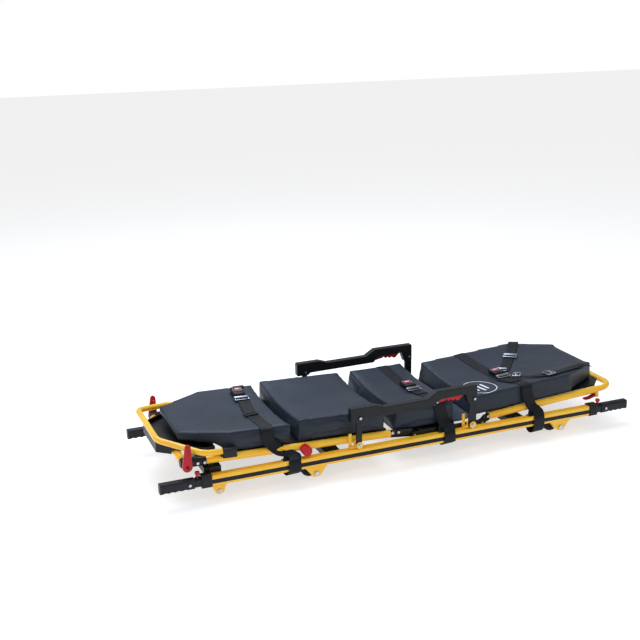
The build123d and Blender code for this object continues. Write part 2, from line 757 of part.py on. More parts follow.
def pads():
    with BuildPart() as leg_pad:
        dished_block(leg_pad_end, knee_low, tube_top, leg_pad_top)
        taper_cut(knee_low, leg_taper_x, leg_pad_end, tube_top)
        tray_x = leg_tube_start + 42
        end_x = leg_pad_end - 20
        side_cut([(tray_x + 43, tube_top), (tray_x, tube_top + 26), (end_x, tube_top + 34),
                  (end_x, tube_top - 5), (tray_x + 43, tube_top - 5)], Mode.SUBTRACT)
    save_leg(leg_pad.part, "leg_pad")

    with BuildPart() as thigh_pad:
        dished_block(knee_high, thigh_end, tube_top, thigh_pad_top)
    save_leg(thigh_pad.part, "thigh_pad")

    with BuildPart() as seat_pad:
        dished_block(seat_pad_start, seat_pad_end, seat_pad_bottom, seat_pad_top)
        lean_top = seat_pad_top + 17
        side_cut([(seat_pad_start, seat_pad_bottom), (seat_pad_end, seat_pad_bottom),
                  (seat_pad_end - 2, lean_top), (seat_pad_start + seat_pad_lean, lean_top)], Mode.INTERSECT)
    save(seat_pad.part, "seat_pad")

    with BuildPart() as back_pad:
        dished_block(back_pad_start, back_pad_end, tube_top, back_pad_top)
        taper_cut(back_pad_start, back_taper_x, back_pad_end, tube_top)
        lean_top = back_pad_top + 26
        side_cut([(back_pad_start, tube_top), (back_pad_start + 26, lean_top), (back_pad_end, lean_top),
                  (back_pad_end, tube_top)], Mode.INTERSECT)
    save_back(back_pad.part, "back_pad")


def boards():
    with BuildPart() as leg_board:
        slab(leg_tube_start + 88, leg_tube_end - 7, -leg_tube_y + tube_radius + 1, leg_tube_y - tube_radius - 1, tube_top - board_thick,
             tube_top)
        slab(knee_low + 2, knee_high - 2, -leg_tube_y + tube_radius + 1, leg_tube_y - tube_radius - 1, tube_top - board_thick,
             tube_top)
    save_leg(leg_board.part, "leg_board")

    with BuildPart() as seat_board:
        plate_top = hinge_height + eye_radius
        slab(seat_pad_start + 26, seat_pad_end - 2, -pad_half_width, pad_half_width, plate_top, seat_pad_bottom)
        slab(seat_low_x + 5, seat_high_x, -side_plate_y, side_plate_y, plate_top, seat_pad_bottom)
    save(seat_board.part, "seat_board")

    with BuildPart() as back_board:
        with BuildSketch(Plane.XY.offset(tube_top - board_thick)):
            with BuildLine():
                low_x = back_tube_start + 4
                end_x = head_loop_join + 48
                wide = back_tube_y - tube_radius - 2
                Polyline((low_x, -wide), (head_loop_join, -wide), (end_x, -wide + 49), (end_x, wide - 49),
                         (head_loop_join, wide), (low_x, wide), close=True)
            make_face()
        extrude(amount=board_thick)
    save_back(back_board.part, "back_board")


def back_section():
    low = deck_tube_height - tube_radius
    with BuildPart() as tubes:
        straight_pipe(back_tube_start, head_loop_join, -back_tube_y, deck_tube_height, tube_radius, tube_wall)
        mirror(about=Plane.XZ)
        for y in (-back_tube_y - 13, -back_tube_y + 9):
            slab(release_x - 7, release_x + 7, y, y + 4, release_z - 7, low + 5)
        y_rod(release_x, release_z, -back_tube_y - 14, -back_tube_y + 14, release_pin_radius)
        x_rod(back_tube_start, head_loop_join, -back_tube_y, deck_tube_height, tube_radius - tube_wall,
              mode=Mode.SUBTRACT)
    save_back(tubes.part, "back_side_tubes")

    with BuildPart() as loop:
        corners = [(head_loop_join, -back_tube_y), (head_loop_x, -back_tube_y)]
        points = [(x, y, deck_tube_height) for x, y in corners]
        points += [(x, -y, z) for x, y, z in reversed(points)]
        pipe(points, [head_loop_bend, head_loop_bend], tube_radius - 2, tube_wall)
    save_back(loop.part, "head_loop")

    with BuildPart() as arms:
        hinge_arms(back_hinge_x, back_tube_start, back_tube_y, (340,))
    save_back(arms.part, "back_hinge_arms")


def release_lever():
    x = release_x
    z = release_z
    with BuildPart() as lever:
        with BuildSketch(y_plane(-back_tube_y + 8)) as blade:
            with BuildLine():
                Polyline((x - 2, z + 5), (x - 2, z - 5), (x - 34, z - 12), (x - 56, z - 11), (x - 56, z - 5),
                         (x - 32, z - 4), close=True)
            make_face()
            fillet(blade.vertices(), 1.5)
            with Locations((x, z)):
                Circle(release_eye_radius)
                Circle(release_pin_radius + running_gap, mode=Mode.SUBTRACT)
        extrude(amount=16)
    save_back(lever.part, "release_lever")


def belt_band(x_low, x_high, top, y_low, y_high):
    """A stretch of webbing that lies in the dish of a pad."""
    with BuildSketch(Plane.YZ.offset(x_low)) as band:
        with BuildLine():
            ThreePointArc((-pad_half_width, top), (0, top - pad_dish), (pad_half_width, top))
            Line((pad_half_width, top), (pad_half_width, top + belt_thick))
            ThreePointArc((pad_half_width, top + belt_thick), (0, top - pad_dish + belt_thick),
                          (-pad_half_width, top + belt_thick))
            Line((-pad_half_width, top + belt_thick), (-pad_half_width, top))
        make_face()
        with Locations(((y_low + y_high) / 2, top)):
            Rectangle(y_high - y_low, 100, mode=Mode.INTERSECT)
    extrude(band.sketch, amount=x_high - x_low)


def belts():
    drop_y = pad_half_width + belt_thick + 1
    low = tube_top + 17
    with BuildPart() as leg_belt:
        belt_band(leg_belt_x, leg_belt_x + belt_width, leg_pad_top, -pad_half_width, pad_half_width)
        slab(leg_belt_x, leg_belt_x + belt_width, -drop_y, -pad_half_width, low, leg_pad_top + belt_thick)
    save_leg(leg_belt.part, "leg_belt")

    with BuildPart() as seat_belt:
        belt_band(seat_belt_x, seat_belt_x + belt_width, seat_pad_top, -pad_half_width, pad_half_width)
        slab(seat_belt_x, seat_belt_x + belt_width, -drop_y, -pad_half_width, low, seat_pad_top + belt_thick)
    save(seat_belt.part, "seat_belt")

    with BuildPart() as harness:
        x = chest_belt_x
        belt_band(x, x + belt_width, back_pad_top, -pad_half_width, pad_half_width)
        slab(x, x + belt_width, -drop_y, -pad_half_width, low, back_pad_top + belt_thick)
        for y_low in (-pad_half_width + 61, pad_half_width - 141):
            belt_band(x + belt_width + 30, back_pad_end - 20, back_pad_top, y_low, y_low + belt_width)
    save_back(harness.part, "chest_harness")

    with BuildPart() as wraps:
        inner = rail_outer + 1.2
        outer = inner + belt_thick
        low = rail_bottom - 0.5
        high = rail_top + 0.5
        for x in wrap_places:
            slab(x, x + belt_width, -outer, -inner, low - belt_thick, high + belt_thick)
            slab(x, x + belt_width, -inner, -rail_inner - 3, high, high + belt_thick)
            slab(x, x + belt_width, -inner, -rail_inner - 3, low - belt_thick, low)
    save(wraps.part, "rail_wraps")


def buckle_plane(x, y, top):
    """A plane resting on the belt, tilted with the dish of the pad."""
    slope = 2 * pad_dish * y / pad_half_width ** 2
    height = dish_height(y, top) + belt_thick + pad_dish * (buckle_reach / pad_half_width) ** 2 + 0.15
    return Plane(origin=(x, y, height), x_dir=(1, 0, 0), z_dir=(0, -slope, 1))


def buckles():
    leg_x, seat_x, chest_x = buckle_places
    places = (("leg", leg_x, 150, leg_pad_top, save_leg), ("seat", seat_x, -10, seat_pad_top, save),
              ("chest", chest_x, -40, back_pad_top, save_back))
    for name, x, y, top, save_one in places:
        base = buckle_plane(x, y, top)
        with BuildPart() as buckle:
            with BuildSketch(base):
                RectangleRounded(buckle_width, buckle_long, 6)
            extrude(amount=buckle_high)
            fillet(buckle.faces().sort_by(Axis.Z)[-1].edges(), 2)
            with BuildSketch(base.offset(buckle_high - 7)):
                with Locations((0, 8)):
                    RectangleRounded(28, 22, 3)
            extrude(amount=20, mode=Mode.SUBTRACT)
            with BuildSketch(base):
                with Locations((0, -buckle_long / 2 - 16)):
                    RectangleRounded(buckle_width + 12, 26, 4)
                    RectangleRounded(buckle_width - 2, 8, 2, mode=Mode.SUBTRACT)
                with Locations((0, -buckle_long / 2 - 2)):
                    Rectangle(24, 8)
            extrude(amount=3)
        save_one(buckle.part, f"{name}_buckle")
        with BuildPart() as button:
            with BuildSketch(base.offset(buckle_high - 4)):
                with Locations((0, 8)):
                    RectangleRounded(28 - 2 * body_gap, 22 - 2 * body_gap, 2.5)
            extrude(amount=5)
        save_one(button.part, f"{name}_buckle_button")


rails()
rail_inserts()
end_collars()
plungers()
handles()
cross_members()
stop_buffers()
wheel_brackets()
wheels()
rollers()
axles_and_bolts()
guard_lugs()
guard_posts()
guard_bars()
guard_triggers()
seat_side_plates()
leg_section()
foot_loop()
foot_tray()
end_levers()
knee_knob()
pads()
boards()
back_section()
release_lever()
belts()
buckles()
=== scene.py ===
import json
import math

import bpy
from mathutils import Matrix, Vector
from mathutils.bvhtree import BVHTree


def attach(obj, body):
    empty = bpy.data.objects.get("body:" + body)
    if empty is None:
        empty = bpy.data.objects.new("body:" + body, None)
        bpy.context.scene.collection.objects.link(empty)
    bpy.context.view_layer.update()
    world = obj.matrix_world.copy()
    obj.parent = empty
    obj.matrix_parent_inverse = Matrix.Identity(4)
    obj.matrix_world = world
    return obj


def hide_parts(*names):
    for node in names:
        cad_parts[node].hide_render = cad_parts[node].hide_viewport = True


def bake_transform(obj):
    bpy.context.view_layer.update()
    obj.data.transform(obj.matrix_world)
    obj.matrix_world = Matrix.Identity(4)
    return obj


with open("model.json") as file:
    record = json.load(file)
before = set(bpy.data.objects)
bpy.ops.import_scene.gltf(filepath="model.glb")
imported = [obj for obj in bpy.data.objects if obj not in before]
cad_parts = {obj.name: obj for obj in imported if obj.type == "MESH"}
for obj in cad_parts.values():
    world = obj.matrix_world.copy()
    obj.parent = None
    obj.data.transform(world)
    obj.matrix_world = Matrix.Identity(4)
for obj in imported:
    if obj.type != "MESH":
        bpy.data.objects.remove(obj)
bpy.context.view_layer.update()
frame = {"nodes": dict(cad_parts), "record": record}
nodes = frame["nodes"]
print("frame loaded,", len(nodes), "nodes")

# the two sections that rest tipped on their stops: hinge in metres, tilt in degrees
deck = {"leg_section": {"hinge": (0.018, 0, 0.103), "tilt": 2.1},
        "backrest": {"hinge": (0.312, 0, 0.103), "tilt": -3.6}}


def linear(text):
    # sRGB hex to linear colour
    channels = [int(text[i:i + 2], 16) / 255 for i in (1, 3, 5)]
    return [c / 12.92 if c <= 0.04045 else ((c + 0.055) / 1.055) ** 2.4 for c in channels] + [1]


def addNode(tree, kind, inputs=None, **settings):
    # one shader node with its settings, and each input a value or another node's socket
    made = tree.nodes.new(kind)
    for name, value in settings.items():
        setattr(made, name, value)
    for name, value in (inputs or {}).items():
        if isinstance(value, bpy.types.NodeSocket):
            tree.links.new(value, made.inputs[name])
        else:
            made.inputs[name].default_value = value
    return made


def newMaterial(name, **sockets):
    material = bpy.data.materials.new(name)
    material.use_nodes = True
    tree = material.node_tree
    shader = tree.nodes["Principled BSDF"]
    for key, value in sockets.items():
        shader.inputs[key.replace("_", " ")].default_value = value
    return material, tree, shader


def variedColour(tree, shader, place, first, second, scale, low=0.35, high=0.65):
    # two close shades mixed by a soft noise
    noise = addNode(tree, "ShaderNodeTexNoise", {"Vector": place, "Scale": scale, "Detail": 3.0})
    ramp = addNode(tree, "ShaderNodeValToRGB", {"Fac": noise.outputs["Fac"]})
    ramp.color_ramp.elements[0].position = low
    ramp.color_ramp.elements[0].color = linear(first)
    ramp.color_ramp.elements[1].position = high
    ramp.color_ramp.elements[1].color = linear(second)
    tree.links.new(ramp.outputs["Color"], shader.inputs["Base Color"])
    return noise


def selectOnly(obj):
    bpy.ops.object.select_all(action="DESELECT")
    obj.select_set(True)
    bpy.context.view_layer.objects.active = obj


def applyModifiers(obj):
    selectOnly(obj)
    for modifier in list(obj.modifiers):
        bpy.ops.object.modifier_apply(modifier=modifier.name)


def settle(obj):
    # the piece's place goes into its mesh
    selectOnly(obj)
    bpy.ops.object.transform_apply(location=True, rotation=True, scale=True)


def dress(obj, material, body, slot, *replaced):
    obj.data.materials.clear()
    obj.data.materials.append(material)
    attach(obj, body)
    if replaced:
        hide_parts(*replaced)
    return obj


def copyOfNode(node, name):
    # a welded copy of a CAD node's mesh
    obj = bpy.data.objects.new(name, nodes[node].data.copy())
    bpy.context.scene.collection.objects.link(obj)
    selectOnly(obj)
    bpy.ops.object.mode_set(mode="EDIT")
    bpy.ops.mesh.select_all(action="SELECT")
    bpy.ops.mesh.remove_doubles(threshold=0.00005)
    bpy.ops.object.mode_set(mode="OBJECT")
    return obj


def softenEdges(obj, width, segments, limit=30):
    edge = obj.modifiers.new("Bevel", "BEVEL")
    edge.width = width
    edge.segments = segments
    edge.limit_method = "ANGLE"
    edge.angle_limit = math.radians(limit)
    applyModifiers(obj)


def subdivideOnce(obj):
    finer = obj.modifiers.new("Subdivision", "SUBSURF")
    finer.levels = 1
    finer.render_levels = 1


def cylinder(name, sides, radius, depth):
    bpy.ops.object.select_all(action="DESELECT")
    bpy.ops.mesh.primitive_cylinder_add(vertices=sides, radius=radius, depth=depth,
                                        location=(0, 0, 0))
    bpy.context.object.name = name
    return bpy.context.object


def strip(name, lengthwise, across):
    # a flat grid from -0.5 to 0.5, to be laid out point by point
    bpy.ops.object.select_all(action="DESELECT")
    bpy.ops.mesh.primitive_grid_add(x_subdivisions=lengthwise, y_subdivisions=across, size=1)
    bpy.context.object.name = name
    return bpy.context.object


def sectionTurn(section, size):
    return Matrix.Rotation(math.radians(deck[section]["tilt"]), size, "Y")


def tipped(point, section):
    # a point of the leg section or the backrest, from lying flat to its place on the stops
    if section == "root":
        return Vector(point)
    hinge = Vector(deck[section]["hinge"])
    return hinge + sectionTurn(section, 3) @ (Vector(point) - hinge)


coatLook = {"shades": ("#FFBC1C", "#FFCB30"), "clouds": 9.0,
            "peel": 700.0, "depth": 0.0006, "strength": 0.06}  # peel 1.4 mm from wave to wave


def powderCoat():
    # yellow polyester powder coat on aluminium: satin, with a faint orange-peel skin
    material, tree, shader = newMaterial("yellowPowderCoat", Roughness=0.34, Coat_Weight=0.25,
                                         Coat_Roughness=0.2)
    place = addNode(tree, "ShaderNodeTexCoord").outputs["Object"]
    variedColour(tree, shader, place, *coatLook["shades"], coatLook["clouds"])
    peel = addNode(tree, "ShaderNodeTexNoise",
                   {"Vector": place, "Scale": coatLook["peel"], "Detail": 2.0})
    bump = addNode(tree, "ShaderNodeBump",
                   {"Height": peel.outputs["Fac"], "Strength": coatLook["strength"],
                    "Distance": coatLook["depth"]})
    tree.links.new(bump.outputs["Normal"], shader.inputs["Normal"])
    return material


plasticLook = {"clouds": 14.0, "skin": 1400.0, "depth": 0.0004}  # skin 0.7 mm from pit to pit


def mouldedPlastic(name, first, second, roughness, grain):
    # moulded nylon or rubber: matt, with the fine spark-eroded texture of its mould
    material, tree, shader = newMaterial(name, Roughness=roughness, Specular_IOR_Level=0.3)
    place = addNode(tree, "ShaderNodeTexCoord").outputs["Object"]
    variedColour(tree, shader, place, first, second, plasticLook["clouds"])
    skin = addNode(tree, "ShaderNodeTexNoise",
                   {"Vector": place, "Scale": plasticLook["skin"], "Detail": 3.0})
    bump = addNode(tree, "ShaderNodeBump",
                   {"Height": skin.outputs["Fac"], "Strength": grain,
                    "Distance": plasticLook["depth"]})
    tree.links.new(bump.outputs["Normal"], shader.inputs["Normal"])
    return material


steelLook = {"clouds": 40.0, "scratch": 900.0, "depth": 0.0003,
             "strength": 0.05}  # scratches 1.1 mm apart


def brightSteel(name, colour, lighter, roughness):
    # zinc or chrome plated steel: small scratches break up the highlight
    material, tree, shader = newMaterial(name, Metallic=1.0, Roughness=roughness)
    place = addNode(tree, "ShaderNodeTexCoord").outputs["Object"]
    variedColour(tree, shader, place, colour, lighter, steelLook["clouds"])
    scratch = addNode(tree, "ShaderNodeTexNoise",
                      {"Vector": place, "Scale": steelLook["scratch"], "Detail": 4.0})
    bump = addNode(tree, "ShaderNodeBump",
                   {"Height": scratch.outputs["Fac"], "Strength": steelLook["strength"],
                    "Distance": steelLook["depth"]})
    tree.links.new(bump.outputs["Normal"], shader.inputs["Normal"])
    return material


# grain 1.6 mm, waves 70 mm
vinylLook = {"shades": ("#232A35", "#2B333F"), "clouds": 6.0, "grain": 620.0, "grainDepth": 0.0006,
             "waves": 14.0, "waveDepth": 0.006}


def vinyl():
    # coated cover cloth: leather grain over slow waves where it is pulled round the foam
    material, tree, shader = newMaterial("charcoalVinyl", Roughness=0.42, Specular_IOR_Level=0.26,
                                         Sheen_Weight=0.04, Sheen_Roughness=0.4)
    place = addNode(tree, "ShaderNodeTexCoord").outputs["Object"]
    variedColour(tree, shader, place, *vinylLook["shades"], vinylLook["clouds"])
    grain = addNode(tree, "ShaderNodeTexVoronoi", {"Vector": place, "Scale": vinylLook["grain"]},
                    feature="DISTANCE_TO_EDGE")
    waves = addNode(tree, "ShaderNodeTexNoise",
                    {"Vector": place, "Scale": vinylLook["waves"], "Detail": 2.0})
    fine = addNode(tree, "ShaderNodeBump",
                   {"Height": grain.outputs["Distance"], "Strength": 0.25,
                    "Distance": vinylLook["grainDepth"]})
    bump = addNode(tree, "ShaderNodeBump",
                   {"Height": waves.outputs["Fac"], "Strength": 0.35,
                    "Distance": vinylLook["waveDepth"], "Normal": fine.outputs["Normal"]})
    tree.links.new(bump.outputs["Normal"], shader.inputs["Normal"])
    return material


webLook = {"shades": ("#0A0C11", "#10131A"), "clouds": 30.0, "rib": 0.0025, "yarn": 0.004,
           "depth": 0.0004}


def webbing():
    # woven polyester belt: ribs of yarn across it, drawn a little coarse so that they show
    material, tree, shader = newMaterial("polyesterWebbing", Roughness=0.5, Specular_IOR_Level=0.25)
    coords = addNode(tree, "ShaderNodeTexCoord")
    variedColour(tree, shader, coords.outputs["Object"], *webLook["shades"], webLook["clouds"])
    split = addNode(tree, "ShaderNodeSeparateXYZ", {"Vector": coords.outputs["UV"]})
    ribs = addNode(tree, "ShaderNodeMath", {0: split.outputs["X"], 1: 2 * math.pi / webLook["rib"]},
                   operation="MULTIPLY")
    along = addNode(tree, "ShaderNodeMath", {0: ribs.outputs[0]}, operation="SINE")
    yarns = addNode(tree, "ShaderNodeMath",
                    {0: split.outputs["Y"], 1: 2 * math.pi / webLook["yarn"]}, operation="MULTIPLY")
    across = addNode(tree, "ShaderNodeMath", {0: yarns.outputs[0]}, operation="SINE")
    weave = addNode(tree, "ShaderNodeMath", {0: along.outputs[0], 1: across.outputs[0]},
                    operation="ADD")
    bump = addNode(tree, "ShaderNodeBump", {"Height": weave.outputs[0], "Strength": 0.35,
                                            "Distance": webLook["depth"]})
    tree.links.new(bump.outputs["Normal"], shader.inputs["Normal"])
    return material


yellow = powderCoat()
blackPlastic = mouldedPlastic("blackNylon", "#121316", "#18191C", 0.42, 0.12)
blackPaint = mouldedPlastic("blackPowderCoat", "#0F1012", "#151618", 0.38, 0.08)
gripPlastic = mouldedPlastic("gripNylon", "#1A1B1E", "#232427", 0.52, 0.2)
insertRubber = mouldedPlastic("insertRubber", "#14161C", "#1B1E27", 0.5, 0.15)
tyreRubber = mouldedPlastic("tyreRubber", "#161616", "#1E1E1E", 0.7, 0.3)
bufferRubber = mouldedPlastic("bufferRubber", "#131313", "#1A1A1A", 0.75, 0.2)
redPlastic = mouldedPlastic("redNylon", "#B10F17", "#C0161F", 0.34, 0.05)
bucklePlastic = mouldedPlastic("buckleAbs", "#121315", "#18191C", 0.3, 0.05)
labelPlastic = mouldedPlastic("greyAbs", "#A9ADB3", "#B9BDC3", 0.4, 0.05)
zinc = brightSteel("zincSteel", "#B4B7BC", "#D2D4D8", 0.3)
chrome = brightSteel("chromeSteel", "#9A9EA6", "#B6BAC2", 0.16)
coverVinyl = vinyl()
beltWeb = webbing()
whitePrint = newMaterial("whitePrint", Roughness=0.6, Base_Color=linear("#E9EBEE"))[0]
print("materials made")

slotMaterials = {"yellow_frame": yellow, "black_insert": insertRubber,
                 "black_plastic": blackPlastic, "black_metal": blackPaint,
                 "rubber_buffer": bufferRubber, "steel_hardware": zinc,
                 "vinyl_pad": coverVinyl, "webbing": beltWeb, "buckle_plastic": bucklePlastic,
                 "red_plastic": redPlastic, "handle_grip": gripPlastic, "wheel_tyre": tyreRubber}
for part in frame["record"]["subparts"]:
    mesh = nodes[part["node"]].data
    mesh.materials.clear()
    mesh.materials.append(slotMaterials[part["material_slot"]])


# the back pad is the longest, and a coarser grid keeps it under 200,000 triangles
padLook = {"voxel": 0.005, "backVoxel": 0.0065, "shrink": 0.003, "cap": 0.003, "pressure": 4.0,
           "stretch": 40, "bend": 2, "frames": 20, "smooth": 2, "above": 0.26}


def swell(obj):
    # foam pushes the cover out a little: cloth with pressure, its travel capped
    rest = [v.co.copy() for v in obj.data.vertices]
    selectOnly(obj)
    cloth = obj.modifiers.new("Cloth", "CLOTH")
    cloth.settings.use_pressure = True
    cloth.settings.uniform_pressure_force = padLook["pressure"]
    cloth.settings.effector_weights.gravity = 0
    cloth.settings.tension_stiffness = padLook["stretch"]
    cloth.settings.compression_stiffness = padLook["stretch"]
    cloth.settings.bending_stiffness = padLook["bend"]
    scene = bpy.context.scene
    for number in range(1, padLook["frames"] + 1):
        scene.frame_set(number)
    applyModifiers(obj)
    scene.frame_set(1)
    for vertex, start in zip(obj.data.vertices, rest):
        travel = vertex.co - start
        if travel.length > padLook["cap"]:
            vertex.co = start + travel.normalized() * padLook["cap"]


def makePad(node, name, body, voxel=padLook["voxel"]):
    # the pad's block drawn in a little, meshed evenly, then swelled and smoothed
    pad = copyOfNode(node, name)
    bpy.ops.object.mode_set(mode="EDIT")
    bpy.ops.mesh.select_all(action="SELECT")
    bpy.ops.transform.shrink_fatten(value=-padLook["shrink"])
    bpy.ops.object.mode_set(mode="OBJECT")
    remesh = pad.modifiers.new("Remesh", "REMESH")
    remesh.mode = "VOXEL"
    remesh.voxel_size = voxel
    applyModifiers(pad)
    swell(pad)
    soften = pad.modifiers.new("Smooth", "SMOOTH")
    soften.factor = 0.5
    soften.iterations = padLook["smooth"]
    subdivideOnce(pad)
    applyModifiers(pad)
    bpy.ops.object.shade_smooth()
    dress(pad, coverVinyl, body, "vinyl_pad", node)
    print(name, len(pad.data.vertices), "vertices")
    return pad


pads = {"leg": makePad("leg_pad", "legPad", "leg_section"),
        "thigh": makePad("thigh_pad", "thighPad", "leg_section"),
        "seat": makePad("seat_pad", "seatPad", "root"),
        "back": makePad("back_pad", "backPad", "backrest", padLook["backVoxel"])}
padTrees = {name: BVHTree.FromPolygons([v.co for v in pad.data.vertices],
                                       [p.vertices for p in pad.data.polygons])
            for name, pad in pads.items()}


def padTop(padName, x, y):
    # the pad's top under a point, or its nearest edge where the point is past it
    tree = padTrees[padName]
    top = tree.ray_cast(Vector((x, y, 1)), Vector((0, 0, -1)))[0]
    if top is None:
        top = tree.find_nearest(Vector((x, y, padLook["above"])))[0]
    return top


# a belt is laid on the pad between the pad's edges, wherever it comes within reach of its top
beltLook = {"width": 0.048, "thick": 0.0018, "step": 0.006, "across": 6, "lift": 0.0016,
            "edge": 0.226, "reach": 0.03, "wrapWidth": 0.05}


def curvePoints(points, step):
    # evenly spaced points on a smooth curve through the given ones, each a position and a
    # direction across
    found = []
    last = len(points) - 1
    for i in range(last):
        p0, p1, p2, p3 = (points[max(0, min(last, i + k))] for k in (-1, 0, 1, 2))
        count = max(2, int((p2[0] - p1[0]).length / step))
        for k in range(count):
            t = k / count
            blend = []
            for a, b, c, d in zip(p0, p1, p2, p3):
                blend.append(0.5 * ((2 * b) + (c - a) * t
                                    + (2 * a - 5 * b + 4 * c - d) * t * t
                                    + (3 * b - a - 3 * c + d) * t ** 3))
            found.append(blend)
    found.append(list(points[-1]))
    return found


def makeBelt(name, route, body, padName=None, width=beltLook["width"], replaced=(), blendTo=None,
             lift=beltLook["lift"]):
    # a ribbon along the route: each stop is (x, y, z or None on the pad, across direction)
    stops = []
    for x, y, z, across in route:
        if z is None:
            z = padTop(padName, x, y).z + lift
        stops.append((Vector((x, y, z)), Vector(across).normalized()))
    line = curvePoints(stops, beltLook["step"])
    belt = strip(name, len(line) - 1, beltLook["across"])
    mesh = belt.data
    lengths = [0.0]
    for a, b in zip(line, line[1:]):
        lengths.append(lengths[-1] + (b[0] - a[0]).length)
    layer = mesh.uv_layers.active.data
    uvs = {}
    for vertex in mesh.vertices:
        index = round((vertex.co.x + 0.5) * (len(line) - 1))
        side = vertex.co.y * width
        uvs[vertex.index] = (lengths[index], side)
        centre, across = line[index]
        place = centre + across.normalized() * side
        if padName and abs(place.y) < beltLook["edge"]:
            top = padTop(padName, place.x, place.y).z
            if place.z < top + beltLook["reach"]:
                place.z = top + lift
        vertex.co = place
    for loop in mesh.loops:
        layer[loop.index].uv = uvs[loop.vertex_index]
    solid = belt.modifiers.new("Solidify", "SOLIDIFY")
    solid.thickness = beltLook["thick"]
    solid.offset = 0
    subdivideOnce(belt)
    applyModifiers(belt)
    bpy.ops.object.shade_smooth()
    belt.data.materials.clear()
    belt.data.materials.append(beltWeb)
    if blendTo:
        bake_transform(belt)
    else:
        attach(belt, body)
    if replaced:
        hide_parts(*replaced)
    return belt


sideways = (1, 0, 0)
# where each belt crosses its pad's far edge, middle and near edge, where it meets the rail, and how
# low its loop hangs there
belts = {
    "leg": {"pad": "leg", "body": "leg_section", "node": "leg_belt", "far": (-0.540, 0.226),
            "near": (-0.567, -0.222), "rail": -0.482, "middle": (-0.565, -0.02), "low": 0.050},
    "seat": {"pad": "seat", "body": "root", "node": "seat_belt", "far": (0.100, 0.226),
             "near": (0.128, -0.222), "rail": 0.149, "middle": (0.107, -0.02), "low": 0.056},
    "chest": {"pad": "back", "body": "backrest", "node": "chest_harness", "far": (0.466, 0.226),
              "near": (0.517, -0.222), "rail": 0.549, "middle": (0.490, -0.04), "low": 0.037}}


def lapBelt(name, spec):
    # over the pad from edge to edge, then down the near side to the rail, round it and back inside
    farX, farY = spec["far"]
    nearX, nearY = spec["near"]
    midX, midY = spec["middle"]
    rim = padTop(spec["pad"], nearX, nearY).z
    farRim = padTop(spec["pad"], farX, farY).z
    railX = spec["rail"]
    top = [(farX, 0.236, farRim - 0.07, sideways), (farX, 0.2355, farRim - 0.012, sideways),
           (farX, farY, None, sideways), (farX * 0.6 + midX * 0.4, 0.12, None, sideways),
           (midX, midY, None, sideways), (nearX * 0.6 + midX * 0.4, -0.13, None, sideways),
           (nearX, nearY, None, sideways), (nearX, -0.2372, rim - 0.010, sideways),
           (nearX + 0.002, -0.2385, rim - 0.03, (1, 0, 0.05))]
    makeBelt(name + "Belt", top, spec["body"], spec["pad"], replaced=(spec["node"],))
    low = spec["low"]
    front = [(nearX, -0.2385, rim - 0.022, sideways),
             (nearX + 0.006, -0.2415, rim - 0.05, (1, 0, 0.18)),
             (0.5 * (nearX + railX), -0.2475, 0.140, (0.75, 0.30, 0.40)),
             (railX + 0.006, -0.2635, 0.1185, (1, 0, 0.12)),
             (railX + 0.002, -0.2775, 0.1095, sideways),
             (railX, -0.2842, 0.101, sideways), (railX, -0.2848, 0.084, sideways)]
    behind = [(nearX + 0.010, -0.2378, rim - 0.04, (1, 0, -0.25)),
              (nearX + 0.022, -0.2392, rim - 0.075, (1, 0, -0.5)),
              (railX - 0.008, -0.2475, 0.128, (0.9, 0.2, -0.4)),
              (railX - 0.016, -0.262, 0.1075, (1, 0, -0.1)),
              (railX - 0.014, -0.270, 0.1065, sideways)]
    for suffix, route in (("Front", front), ("Behind", behind)):
        if spec["body"] == "root":
            makeBelt(name + "BeltTail" + suffix, route, "root")
        else:
            makeBelt(name + "BeltTail" + suffix, route, None,
                     blendTo=("root", spec["body"], (railX, -0.27, 0.115),
                              (nearX, -0.24, rim - 0.035)))
    wrap = [(railX, -0.2848, 0.098, sideways), (railX, -0.2852, 0.084, sideways),
            (railX, -0.2848, 0.066, sideways), (railX - 0.002, -0.283, low + 0.012, sideways),
            (railX - 0.006, -0.272, low, (1, 0, 0.05)),
            (railX - 0.012, -0.256, low + 0.006, (1, 0, 0.08)),
            (railX - 0.016, -0.2465, 0.066, sideways), (railX - 0.016, -0.2455, 0.088, sideways),
            (railX - 0.015, -0.2475, 0.104, sideways), (railX - 0.014, -0.256, 0.1078, sideways),
            (railX - 0.013, -0.270, 0.1078, sideways)]
    return makeBelt(name + "BeltWrap", wrap, "root", width=beltLook["wrapWidth"])


wraps = {name: lapBelt(name, spec) for name, spec in belts.items()}
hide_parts("rail_wraps")

# the harness's two shoulder belts, each lying over the one made before it
farShoulder = [(0.752, 0.2365, 0.17, (0.8, -0.6, 0)), (0.752, 0.2355, 0.225, (0.85, -0.5, 0)),
               (0.740, 0.219, None, (0.85, -0.5, 0)), (0.700, 0.165, None, (0.8, -0.6, 0)),
               (0.644, 0.097, None, (0.78, -0.62, 0)), (0.580, 0.020, None, (0.78, -0.62, 0)),
               (0.515, -0.055, None, (0.8, -0.6, 0))]
makeBelt("farShoulderBelt", farShoulder, "backrest", "back", width=0.044, lift=0.0034)
nearShoulder = [(0.842, -0.1795, 0.165, (0.9, -0.45, 0)), (0.841, -0.178, 0.222, (0.85, -0.5, 0)),
                (0.828, -0.160, None, (0.45, 0.85, 0)), (0.785, -0.166, None, (0.15, 1, 0)),
                (0.720, -0.180, None, (0.05, 1, 0)), (0.650, -0.184, None, (-0.1, 1, 0)),
                (0.585, -0.160, None, (-0.4, 0.9, 0)), (0.520, -0.095, None, (-0.6, 0.8, 0))]
makeBelt("nearShoulderBelt", nearShoulder, "backrest", "back", width=0.040, lift=0.0052)

